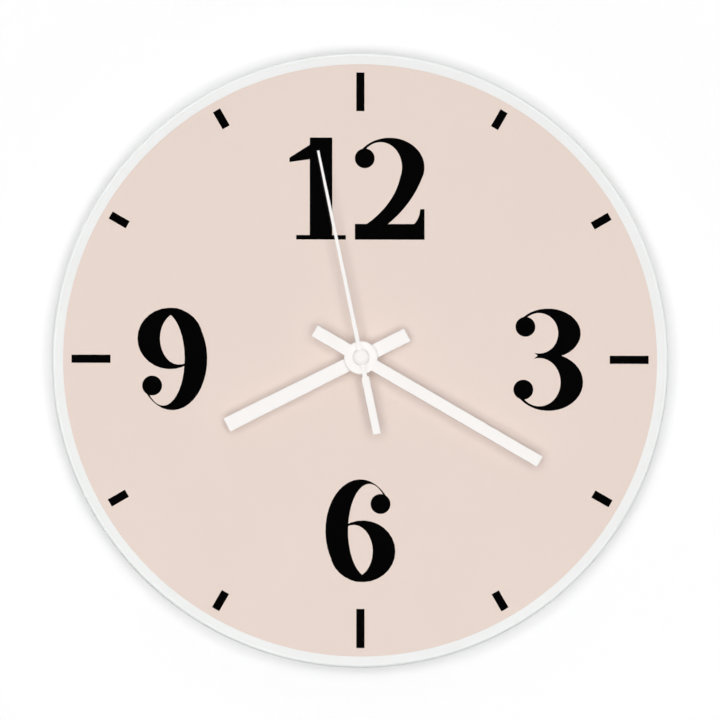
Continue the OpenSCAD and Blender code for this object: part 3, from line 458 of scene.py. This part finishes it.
EDGE_RADII = {
    "hour_hand": 0.12, "minute_hand": 0.12, "second_hand": 0.1,
    "movement_case": 0.35, "back_cover": 0.25, "hanging_eye": 0.3, "setting_knob": 0.12,
    "hex_nut": 0.25, "front_washer": 0.1, "rubber_gasket": 0.15,
}
EDGE_STEPS = 2
EDGE_ANGLE = 40
for row in frame["record"]["subparts"]:
    solid = frame["nodes"][row["node"]]
    if row["material_slot"] in LOOKS:
        solid.data.materials.clear()
        solid.data.materials.append(LOOKS[row["material_slot"]])
    if row["node"] in EDGE_RADII:
        bevel = solid.modifiers.new("edge_radius", "BEVEL")
        bevel.width = EDGE_RADII[row["node"]] * MM
        bevel.segments = EDGE_STEPS
        bevel.limit_method = "ANGLE"
        bevel.angle_limit = math.radians(EDGE_ANGLE)
        bevel.harden_normals = True

# Glass plate: polished front, ground and rounded arrises, and an inked back a hair short of the print

INK_GAP = 0.03
GLASS_R = glass_high.x / MM
GLASS_FRONT = glass_low.y / MM
GLASS_BACK = glass_high.y / MM - INK_GAP
HOLE_R = 4.5
FRONT_ROUND = 1.6
BACK_ARRIS = 0.6
HOLE_ARRIS = 0.3
ARRIS_ROUND = 0.1
BACK_ROUND = 0.2
GLASS_STEPS = 360
FLAT_FACE = 0.9995
plate_profile = rounded([
    (HOLE_R + HOLE_ARRIS, GLASS_FRONT, ARRIS_ROUND),
    (GLASS_R, GLASS_FRONT, FRONT_ROUND),
    (GLASS_R, GLASS_BACK - BACK_ARRIS, BACK_ROUND),
    (GLASS_R - BACK_ARRIS, GLASS_BACK, ARRIS_ROUND),
    (HOLE_R + HOLE_ARRIS, GLASS_BACK, ARRIS_ROUND),
    (HOLE_R, GLASS_BACK - HOLE_ARRIS, ARRIS_ROUND),
    (HOLE_R, GLASS_FRONT + HOLE_ARRIS, ARRIS_ROUND),
])
glass_plate = turned("glass_plate", plate_profile, POLISHED_GLASS, steps=GLASS_STEPS)
glass_plate.data.materials.append(GROUND_GLASS)
glass_plate.data.materials.append(INKED_GLASS)
for face in glass_plate.data.polygons:
    if abs(face.normal.y) < FLAT_FACE:
        face.material_index = 1
    elif face.normal.y > 0:
        face.material_index = 2
set_on(glass_plate, "clock", "glass", "glass_disc")

# Cap of the second hand, turned with a soft crown

CAP_R = cap_high.x / MM
CAP_BASE = cap_high.y / MM
CAP_TOP = cap_low.y / MM
CAP_BORE_R = 0.5
CROWN_RISE = 0.7
CROWN_SHARE = 0.6
CROWN_ROUND = 1.2
SHOULDER_ROUND = 0.35
FOOT_ROUND = 0.08
CAP_SHOULDER = CAP_TOP + CROWN_RISE
cap_profile = rounded([
    (CAP_BORE_R, CAP_BASE, 0),
    (CAP_R, CAP_BASE, FOOT_ROUND),
    (CAP_R, CAP_SHOULDER, SHOULDER_ROUND),
    (CAP_R * CROWN_SHARE, CAP_TOP, CROWN_ROUND),
    (0.0, CAP_TOP, 0),
    (0.0, CAP_SHOULDER, 0),
    (CAP_BORE_R, CAP_SHOULDER, 0),
])
cap_crown = turned("cap_crown", cap_profile, LOOKS["white_lacquer"])
set_on(cap_crown, "second", "white_lacquer", "second_hand_cap")

# Cell: film sleeve rolled over both rims, steel base plate, shoulder and nub

CELL_AXIS = ((cell_low.y + cell_high.y) / 2 / MM, CELL_MID_Z)
CELL_R = (cell_high.y - cell_low.y) / 2 / MM
CELL_BASE = cell_low.x / MM
CELL_TOP = cell_high.x / MM
SLEEVE_ROUND = 0.8
LIP_ROUND = 0.15
LIP_DEPTH = 0.45
BASE_LIP_R = 5.5
TOP_LIP_R = 5.9
STEEL_DEPTH = 0.5
STEEL_ROUND = 0.1
SWAGE_ROUND = 0.2
sleeve_profile = rounded([
    (0.0, CELL_BASE + LIP_DEPTH, 0),
    (BASE_LIP_R, CELL_BASE + LIP_DEPTH, STEEL_ROUND),
    (BASE_LIP_R, CELL_BASE, LIP_ROUND),
    (CELL_R, CELL_BASE, SLEEVE_ROUND),
    (CELL_R, CELL_TOP, SLEEVE_ROUND),
    (TOP_LIP_R, CELL_TOP, LIP_ROUND),
    (TOP_LIP_R, CELL_TOP - LIP_DEPTH, STEEL_ROUND),
    (0.0, CELL_TOP - LIP_DEPTH, 0),
], closed=False)
cell_sleeve = turned("cell_sleeve", sleeve_profile, LOOKS["cell_sleeve"], "X", CELL_AXIS, closed=False)
set_on(cell_sleeve, "battery", "cell_sleeve", "battery_cell")

PLATE_R = 5.4
PLATE_DEPTH = 0.25
PLATE_FLAT_R = 4.3
PLATE_FLAT_DEPTH = 0.2
BOSS_R = 3.9
BOSS_DEPTH = 0.02
base_profile = rounded([
    (0.0, CELL_BASE + STEEL_DEPTH, 0),
    (PLATE_R, CELL_BASE + STEEL_DEPTH, 0),
    (PLATE_R, CELL_BASE + PLATE_DEPTH, STEEL_ROUND),
    (PLATE_FLAT_R, CELL_BASE + PLATE_FLAT_DEPTH, STEEL_ROUND),
    (BOSS_R, CELL_BASE + BOSS_DEPTH, SWAGE_ROUND),
    (0.0, CELL_BASE + BOSS_DEPTH, 0),
], closed=False)
cell_base = turned("cell_base", base_profile, LOOKS["steel"], "X", CELL_AXIS, closed=False)
set_on(cell_base, "battery", "steel")

NUB_R = (nub_high.y - nub_low.y) / 2 / MM
NUB_TOP = nub_high.x / MM
NUB_ROUND = 0.35
NUB_FLARE = 0.35
NUB_FLARE_RISE = 0.3
NUB_FLARE_ROUND = 0.3
COLLAR_R = 5.8
COLLAR_DEPTH = 0.2
COLLAR_FLAT_R = 4.6
COLLAR_FLAT_DEPTH = 0.15
nub_profile = rounded([
    (0.0, CELL_TOP - STEEL_DEPTH, 0),
    (COLLAR_R, CELL_TOP - STEEL_DEPTH, 0),
    (COLLAR_R, CELL_TOP - COLLAR_DEPTH, STEEL_ROUND),
    (COLLAR_FLAT_R, CELL_TOP - COLLAR_FLAT_DEPTH, SWAGE_ROUND),
    (NUB_R + NUB_FLARE, CELL_TOP, NUB_FLARE_ROUND),
    (NUB_R, CELL_TOP + NUB_FLARE_RISE, SWAGE_ROUND),
    (NUB_R, NUB_TOP, NUB_ROUND),
    (0.0, NUB_TOP, 0),
], closed=False)
cell_nub = turned("cell_nub", nub_profile, LOOKS["steel"], "X", CELL_AXIS, closed=False)
set_on(cell_nub, "battery", "steel", "battery_button")

# Setting arrows printed round the knob's well, their spans in degrees

KNOB_X = (knob_low.x + knob_high.x) / 2 / MM
KNOB_Z = (knob_low.z + knob_high.z) / 2 / MM
MARK_DEPTH = 0.03
ARROW_R = 7.0
ARROW_W = 0.7
ARROW_BARB = 1.2 * ARROW_W
ARROW_HEAD = 14
ARROW_STEPS = 14
ARROW_SPANS = ((115, 165), (245, 195))


def round_knob(radius, degrees):
    turn = math.radians(degrees)
    return (KNOB_X + radius * math.cos(turn), KNOB_Z + radius * math.sin(turn))


def arrow_outline(start, end):
    """A bent arrow about the knob from start to end, in degrees."""
    angles = [start + (end - start) * i / ARROW_STEPS for i in range(ARROW_STEPS + 1)]
    point = end + ARROW_HEAD * (1 if end > start else -1)
    inner = [round_knob(ARROW_R - ARROW_W / 2, a) for a in angles]
    outer = [round_knob(ARROW_R + ARROW_W / 2, a) for a in reversed(angles)]
    tip = [round_knob(ARROW_R - ARROW_BARB, end), round_knob(ARROW_R, point),
           round_knob(ARROW_R + ARROW_BARB, end)]
    return inner + tip + outer


arrows = [arrow_outline(start, end) for start, end in ARROW_SPANS]
setting_arrows = raised_shape("setting_arrows", arrows, -MARK_DEPTH, MARK_DEPTH, SIGN_INK)
set_on(setting_arrows, "clock", "case_plastic")

# Stage, in metres: a white wall and a pale floor, both open from behind so that every side is seen and lit.
# A ray's count of soft bounces lies below these at the first surface that is seen and at the next one.

FIRST_HIT = 0.5
FIRST_BOUNCE = 1.5


def stage_look(name, paint, own_light, fade):
    """Paint that shows shade, lifted for rays that look at it; open from behind and to light on what is seen.

    It fades out between two distances from the origin.
    """
    mat, tree = new_tree(name)
    path = tree.nodes.new("ShaderNodeLightPath")
    seen = either(tree, path.outputs["Is Camera Ray"],
                  either(tree, path.outputs["Is Glossy Ray"], path.outputs["Is Transmission Ray"]))
    glow = add(tree, "Emission", Color=(1, 1, 1, 1), Strength=1.0)
    diffuse = add(tree, "BsdfDiffuse", Color=(paint, paint, paint, 1))
    lift = both(tree, seen, own_light)
    lifted = mixed_shaders(tree, lift, diffuse.outputs["BSDF"], glow.outputs["Emission"])
    depth = path.outputs["Diffuse Depth"]
    at_first_hit = math_node(tree, "LESS_THAN", depth, FIRST_HIT)
    at_first_bounce = math_node(tree, "LESS_THAN", depth, FIRST_BOUNCE)
    first_lamp = both(tree, path.outputs["Is Shadow Ray"], at_first_hit)
    first_bounce = both(tree, path.outputs["Is Diffuse Ray"], at_first_bounce)
    coords = tree.nodes.new("ShaderNodeTexCoord")
    reach = tree.nodes.new("ShaderNodeVectorMath")
    reach.operation = "LENGTH"
    join(tree, coords.outputs["Object"], reach.inputs[0])
    faded = ramp(tree, reach.outputs["Value"], fade[0], fade[1])
    passing = either(tree, either(tree, first_lamp, first_bounce), faded)
    side = tree.nodes.new("ShaderNodeNewGeometry")
    gone = either(tree, side.outputs["Backfacing"], passing)
    open_side = tree.nodes.new("ShaderNodeBsdfTransparent")
    return finish_shader(mat, tree, mixed_shaders(tree, gone, lifted, open_side.outputs["BSDF"]))


def stage_plane(name, corners, look):
    mesh = bpy.data.meshes.new(name)
    mesh.from_pydata(corners, [], [(0, 1, 2, 3)])
    mesh.materials.append(look)
    plane = bpy.data.objects.new(name, mesh)
    scene.collection.objects.link(plane)


WALL_Y = 0.0006
FLOOR_Z = -1.1
REACH = 3.0
wall_paint = stage_look("wall_paint", paint=0.985, own_light=0.1, fade=(0.19, 0.26))
stage_plane("wall", [(-REACH, WALL_Y, FLOOR_Z), (REACH, WALL_Y, FLOOR_Z), (REACH, WALL_Y, REACH),
                     (-REACH, WALL_Y, REACH)], wall_paint)
floor_paint = stage_look("floor_paint", paint=0.9, own_light=0.75, fade=(1.5, 2.6))
stage_plane("floor", [(-REACH, -REACH, FLOOR_Z), (REACH, -REACH, FLOOR_Z), (REACH, REACH, FLOOR_Z),
                      (-REACH, REACH, FLOOR_Z)], floor_paint)

# Camera: a long lens a little below and left of the dial's axis, by angles in degrees

VIEW_WIDTH = 350.4
SENSOR = 36.0
DISTANCE = 3200.0
CAMERA_LEFT = 1.5
CAMERA_LOW = 4.5
AIM = Vector((-0.19, -19.0, -0.34))
CLIP_METRES = 50
lens = bpy.data.cameras.new("camera")
lens.sensor_width = SENSOR
lens.lens = SENSOR * DISTANCE / VIEW_WIDTH
lens.clip_end = CLIP_METRES
camera = bpy.data.objects.new("camera", lens)
left = math.radians(CAMERA_LEFT)
low = math.radians(CAMERA_LOW)
away = Vector((-math.sin(left) * math.cos(low), -math.cos(left) * math.cos(low), -math.sin(low)))
camera.location = (AIM + away * DISTANCE) * MM
camera.rotation_euler = (-away).to_track_quat("-Z", "Y").to_euler()
scene.collection.objects.link(camera)
scene.camera = camera
scene.view_settings.view_transform = "Standard"

# Lamps, in metres and watts: a soft ring round the viewing axis with a small one in it, and two behind

IN_FRONT = -1
BEHIND = 1


def lamp(name, slopes, distance, size, power, side=IN_FRONT):
    """A round soft lamp at slopes off the dial's axis; one in front isn't mirrored in the glass."""
    data = bpy.data.lights.new(name, "AREA")
    data.shape = "DISK"
    data.size = size
    data.energy = power
    light = bpy.data.objects.new(name, data)
    way = Vector((slopes[0], side, slopes[1])).normalized()
    light.location = way * distance
    light.rotation_euler = (-way).to_track_quat("-Z", "Y").to_euler()
    light.visible_glossy = side == BEHIND
    scene.collection.objects.link(light)


RING_LAMPS = 12
RING_SLOPES = (0.22, 0.37)
RING_DISTANCE = 3.4
RING_SIZE = 0.58
RING_POWER = 7.0
LOWER_SHARE = 0.15
FILL_SIZE = 0.3
FILL_POWER = 24.0
BACK_DISTANCE = 2.8
BACK_SIZE = 1.2
view = Vector((away.x / -away.y, away.z / -away.y))
for number in range(RING_LAMPS):
    angle = 2 * math.pi * number / RING_LAMPS
    turn = Vector((math.cos(angle), math.sin(angle)))
    power = RING_POWER * (1 - LOWER_SHARE * turn.y)
    lamp("ring_lamp_%d" % number, view + turn * RING_SLOPES[number % 2], RING_DISTANCE, RING_SIZE, power)
lamp("fill_lamp", view, RING_DISTANCE, FILL_SIZE, FILL_POWER)
lamp("back_left_lamp", (-0.8, 0.6), BACK_DISTANCE, BACK_SIZE, power=24, side=BEHIND)
lamp("back_right_lamp", (0.9, 0.28), BACK_DISTANCE, BACK_SIZE, power=20, side=BEHIND)

# Room: soft light from high up and from behind, pale in mirrors except beyond the camera, white to the camera

HIGH_LIGHT = 0.5
HIGH_FROM = 0.0
HIGH_TO = 0.9
BACK_LIGHT = 0.5
BACK_FROM = -0.1
BACK_TO = 0.3
MIRRORED = 0.9
DARK_SHARE = 0.01
DARK_FROM = -0.985
DARK_TO = -0.86
world = bpy.data.worlds.new("room")
scene.world = world
world.use_nodes = True
room = world.node_tree
room.nodes.clear()
way_of_ray = room.nodes.new("ShaderNodeTexCoord")
ray = axes_of(room, way_of_ray.outputs["Generated"])
path = room.nodes.new("ShaderNodeLightPath")
mirrors = either(room, path.outputs["Is Glossy Ray"], path.outputs["Is Transmission Ray"])
above = ramp(room, ray["Z"], HIGH_FROM, HIGH_TO, high=HIGH_LIGHT)
rear = ramp(room, ray["Y"], BACK_FROM, BACK_TO, high=BACK_LIGHT)
level = either(room, both(room, mirrors, MIRRORED), either(room, above, rear))
shaded = both(room, level, ramp(room, ray["Y"], DARK_FROM, DARK_TO, low=DARK_SHARE))
strength = either(room, shaded, path.outputs["Is Camera Ray"])
backdrop = add(room, "Background", Color=(1, 1, 1, 1))
join(room, strength, backdrop.inputs["Strength"])
world_out = room.nodes.new("ShaderNodeOutputWorld")
join(room, backdrop.outputs["Background"], world_out.inputs["Surface"])
